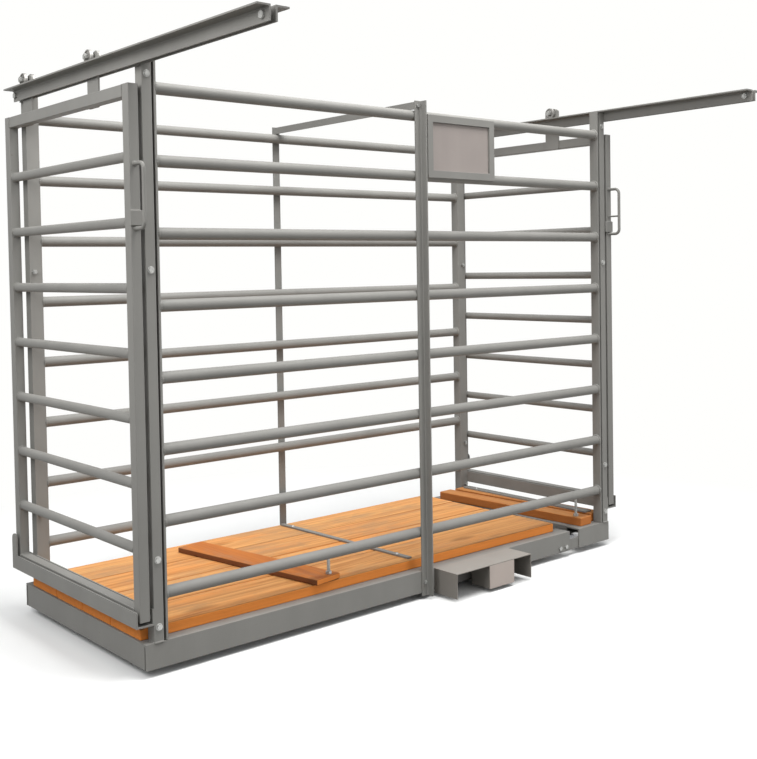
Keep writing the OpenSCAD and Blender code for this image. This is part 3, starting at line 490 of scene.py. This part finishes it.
def gateRings(side):
    tube, size, bar = gates["tube"], gates["bead"], gates["handleBar"]
    low, high = corners(side + "_gate_stiles")
    x = (low[0] + high[0]) / 2
    rungLow, rungHigh = corners(side + "_gate_rungs")
    radius = (rungHigh[0] - rungLow[0]) / 2
    heights = np.linspace(rungLow[2] + radius, rungHigh[2] - radius, gates["rungs"])
    places = np.array([(x, y, z) for y in (low[1] + tube, high[1] - tube) for z in heights])
    rings = [ringBeads(places, 1, np.repeat([1, -1], gates["rungs"]), radius, size)]
    handleLow, handleHigh = corners(side + "_gate_handle")
    legs = [(x, low[1], z) for z in (handleLow[2] + bar, handleHigh[2] - bar)]
    rings.append(ringBeads(legs, 1, [-1, -1], bar, size))
    addPiece(side + "GateRingWelds", rings, side + "_gate_rungs", ring=True)


def gateRuns(side):
    tube, half = gates["tube"], gates["hanger"] / 2
    low, high = corners(side + "_gate_stiles")
    runs = []
    for bottom, inside in ((low[2], low[2] + tube), (high[2] - tube, high[2] - tube)):
        for y in (low[1] + tube, high[1] - tube):
            runs += [((x, y, bottom), (x, y, bottom + tube)) for x in (low[0], high[0])]
            runs.append(((low[0], y, inside), (high[0], y, inside)))
    hangLow, hangHigh = corners(side + "_gate_hangers")
    face = (hangHigh if side == "right" else hangLow)[0]
    for y in (hangLow[1] + half, hangHigh[1] - half):
        runs += [((face, y + s * half, high[2] - tube), (face, y + s * half, high[2])) for s in (-1, 1)]
        runs.append(((face, y - half, high[2]), (face, y + half, high[2])))
    lugLow, lugHigh = corners(side + "_gate_lug")
    runs += [((low[0], low[1], z), (high[0], low[1], z)) for z in (lugLow[2], lugHigh[2])]
    addPiece(side + "GateRunWelds", [runBeads(*zip(*runs), gates["bead"])], side + "_gate_bars")


# rows are pitches below the top rail; hole and rim are radii
washer = dict(thick=0.0022, around=28, across=12, corner=0.4, rows=(2.5, rails["count"] - 1.5), aboveRail=0.038,
              belowGuide=0.008, panelHole=0.0054, panelRim=0.0112, trackHole=0.0064, trackRim=0.0130,
              trackHead=0.0111)


# washer: a thin band, rounded by a power of sine and cosine, carried round the bolt's axis
def washerGrid(centres, axis, way, inner, outer):
    angle = np.linspace(0, fullTurn, washer["around"], endpoint=False)[None, :, None]
    section = np.linspace(0, fullTurn, washer["across"], endpoint=False)[None, None, :]
    square = lambda wave: np.sign(wave) * np.abs(wave) ** washer["corner"]
    out = (inner + outer) / 2 + (outer - inner) / 2 * square(np.cos(section)) + 0 * angle
    along = washer["thick"] / 2 * (1 + square(np.sin(section)))
    return ringGrid(centres, axis, out, np.asarray(way, float).reshape(-1, 1, 1) * along, angle)


def washers():
    low, high = corners("near_rails")
    radius = (high[1] - low[1]) / 2
    topRail, pitch = high[2] - radius, (high[2] - low[2] - 2 * radius) / (rails["count"] - 1)
    lowest = corners("left_guide")[0][2] - washer["belowGuide"]
    rows = [topRail + washer["aboveRail"], *(topRail - k * pitch for k in washer["rows"]), lowest]
    near, far = [corner[1] for corner in corners("left_posts")]
    left = corners("left_posts")[0][0] + posts["flange"] / 2
    right = corners("right_posts")[1][0] - posts["flange"] / 2
    panel = [(x, y, z) for y in (near, far) for x in (left, right) for z in rows]
    boltLow, boltHigh = corners("track_bolts")
    trackLow, trackHigh = corners("track_outer")
    web = trackHigh[0] - (trackHigh[2] - trackLow[2])       # both legs of the track are equally long
    ends = (boltLow[1] + washer["trackHead"], boltHigh[1] - washer["trackHead"])
    track = [(s * web, y, (boltLow[2] + boltHigh[2]) / 2) for s in (-1, 1) for y in ends]
    grids = [washerGrid(panel, 1, np.repeat([-1, 1], 2 * len(rows)), washer["panelHole"], washer["panelRim"]),
             washerGrid(track, 0, np.repeat([-1, 1], len(ends)), washer["trackHole"], washer["trackRim"])]
    addPiece("boltWashers", grids, "panel_bolts", ring=True)


# copies of the flat steelwork with their edges rounded off, as rolled and folded steel has them
softEdge = dict(width=0.0011, steps=2, angle=math.radians(32), flat=math.radians(0.6))
softened = [
    "base_side_near", "base_side_far", "base_corner_pieces", "base_ends", "left_posts", "right_posts",
    "panel_stiles", "near_mid_post", "far_mid_post", "top_tie", "track_inner", "track_outer", "left_guide",
    "right_guide", "sign_frame", "sign_plate", "instrument_shelf", "junction_box", "junction_box_lid",
    "left_gate_hangers", "right_gate_hangers", "left_gate_lug", "right_gate_lug", "load_cells", "cell_pads",
    "deck_straps",
]


def softenEdges(node):
    mesh = nodes[node].data.copy()
    if "custom_normal" in mesh.attributes:
        mesh.attributes.remove(mesh.attributes["custom_normal"])
    shell = mergeDoubles(mesh, 1e-6)
    bmesh.ops.dissolve_limit(shell, angle_limit=softEdge["flat"], verts=shell.verts, edges=shell.edges)
    smoothMesh(shell, mesh)
    piece = seatPiece(node + ".soft", mesh, node, [node])
    bevel = piece.modifiers.new("edges", "BEVEL")
    bevel.width, bevel.segments, bevel.limit_method = softEdge["width"], softEdge["steps"], "ANGLE"
    bevel.angle_limit, bevel.use_clamp_overlap = softEdge["angle"], True
    flatFaces(piece)


deckBoards()
leftCleat()
rightCleats()
threadedRods()
cageWelds()
for side in ("left", "right"):
    gateRings(side)
    gateRuns(side)
washers()
for name in softened:
    softenEdges(name)
print("stage 3: boards, rods, welds, washers and", len(softened), "soft-edged copies")


# camera measured from the photograph: place, aim and level in the frame, focal length and centre in pixels
camera = dict(place=(-2.6894, -3.01595, 1.2350), aim=(0.65184, 0.75768, -0.03214),
              up=(0.03360, 0.01349, 0.99934), focal=1075.8, centre=(377.7, 301.4), size=(757, 759),
              sensor=36.0, reach=100.0)


def photoCamera():
    wide, tall = camera["size"]
    forward = Vector(camera["aim"]).normalized()
    rightward = forward.cross(Vector(camera["up"])).normalized()
    turn = Matrix((rightward, rightward.cross(forward), -forward)).transposed().to_4x4()
    eye = bpy.data.objects.new("eye", bpy.data.cameras.new("eye"))
    bpy.context.scene.collection.objects.link(eye)
    eye.matrix_world = Matrix.Translation(camera["place"]) @ turn
    eye.data.sensor_fit = "VERTICAL"
    eye.data.sensor_height = camera["sensor"]
    eye.data.lens = camera["sensor"] * camera["focal"] / tall
    eye.data.shift_x = (wide / 2 - camera["centre"][0]) / tall
    eye.data.shift_y = (camera["centre"][1] - tall / 2) / tall
    eye.data.clip_end = camera["reach"]
    bpy.context.scene.camera = eye


# white is what the camera, gloss and glass see; dull and sky are what lights the part
studio = dict(white=(1.0, 1.0, 0.985), sky=0.66, skyTone=(0.95, 0.97, 1.0), floor=(0.90, 0.90, 0.885),
              floorRough=0.9, dull=(0.11, 0.105, 0.095), reach=14.0, fade=(1.3, 2.6))
seenBy = ("Is Camera Ray", "Is Glossy Ray", "Is Transmission Ray")


# pale floor that fades to white away from the part
def paleFloor():
    mesh = bpy.data.meshes.new("floor")
    square = np.array([(-1, -1, 0), (1, -1, 0), (1, 1, 0), (-1, 1, 0)], float) * studio["reach"]
    mesh.from_pydata(square.tolist(), [], [(0, 1, 2, 3)])
    floor = bpy.data.objects.new("floor", mesh)
    bpy.context.scene.collection.objects.link(floor)
    f = Finish("paleFloor")
    away = f.put("ShaderNodeVectorMath", dict(operation="LENGTH"), {0: f.at}, "Value")
    first, *others = [f.put("ShaderNodeLightPath", {}, {}, ray) for ray in seenBy]
    for ray in others:
        first = first.sum("MAXIMUM", first, ray)
    dull = f.put("ShaderNodeBsdfDiffuse", {}, {"Color": studio["dull"]})
    white = f.put("ShaderNodeEmission", {}, {"Color": studio["white"], "Strength": 1.0})
    f.set(colour=studio["floor"], rough=studio["floorRough"])
    lit = Mix(f, f.shader.outputs[0])
    seen = f.put("ShaderNodeMixShader", {}, {0: away.above(*studio["fade"]), 1: lit, 2: white})
    mix = f.put("ShaderNodeMixShader", {}, {0: first, 1: dull, 2: seen})
    f.tree.links.new(mix.socket, f.tree.nodes["Material Output"].inputs[0])
    mesh.materials.append(f.material)


def softStudio():
    world = bpy.data.worlds.new("studio")
    bpy.context.scene.world = world
    world.use_nodes = True
    tree = world.node_tree
    rays = tree.nodes.new("ShaderNodeLightPath")
    back = tree.nodes["Background"]
    back.inputs[0].default_value = (*studio["skyTone"], 1)
    back.inputs[1].default_value = studio["sky"]
    white = tree.nodes.new("ShaderNodeBackground")
    white.inputs[0].default_value = (*studio["white"], 1)
    share = rays.outputs[seenBy[0]]
    for ray in seenBy[1:]:
        either = tree.nodes.new("ShaderNodeMath")
        either.operation = "MAXIMUM"
        tree.links.new(share, either.inputs[0])
        tree.links.new(rays.outputs[ray], either.inputs[1])
        share = either.outputs[0]
    pick = tree.nodes.new("ShaderNodeMixShader")
    for k, link in enumerate((share, back.outputs[0], white.outputs[0])):
        tree.links.new(link, pick.inputs[k])
    tree.links.new(pick.outputs[0], tree.nodes["World Output"].inputs[0])


lamps = dict(
    overhead=dict(place=(0.2, -1.1, 5.0), target=(0, 0.3, 0.4), size=3.2, watts=264),
    leftFill=dict(place=(-3.0, -0.5, 2.6), target=(-1.1, 0.3, 1.3), size=2.0, watts=46),
    frontFill=dict(place=(1.5, -3.0, 0.6), target=(0.4, 0.0, 0.1), size=1.2, watts=16),
)


def lamp(name, place, target, size, watts):
    light = bpy.data.lights.new(name, "AREA")
    light.shape, light.size, light.energy = "DISK", size, watts
    body = bpy.data.objects.new(name, light)
    bpy.context.scene.collection.objects.link(body)
    body.location = place
    body.rotation_euler = (Vector(target) - Vector(place)).to_track_quat("-Z", "Y").to_euler()


photoCamera()
paleFloor()
softStudio()
for name, values in lamps.items():
    lamp(name, **values)
bpy.context.scene.view_settings.view_transform = "Standard"
print("stage 4: camera, floor and light")
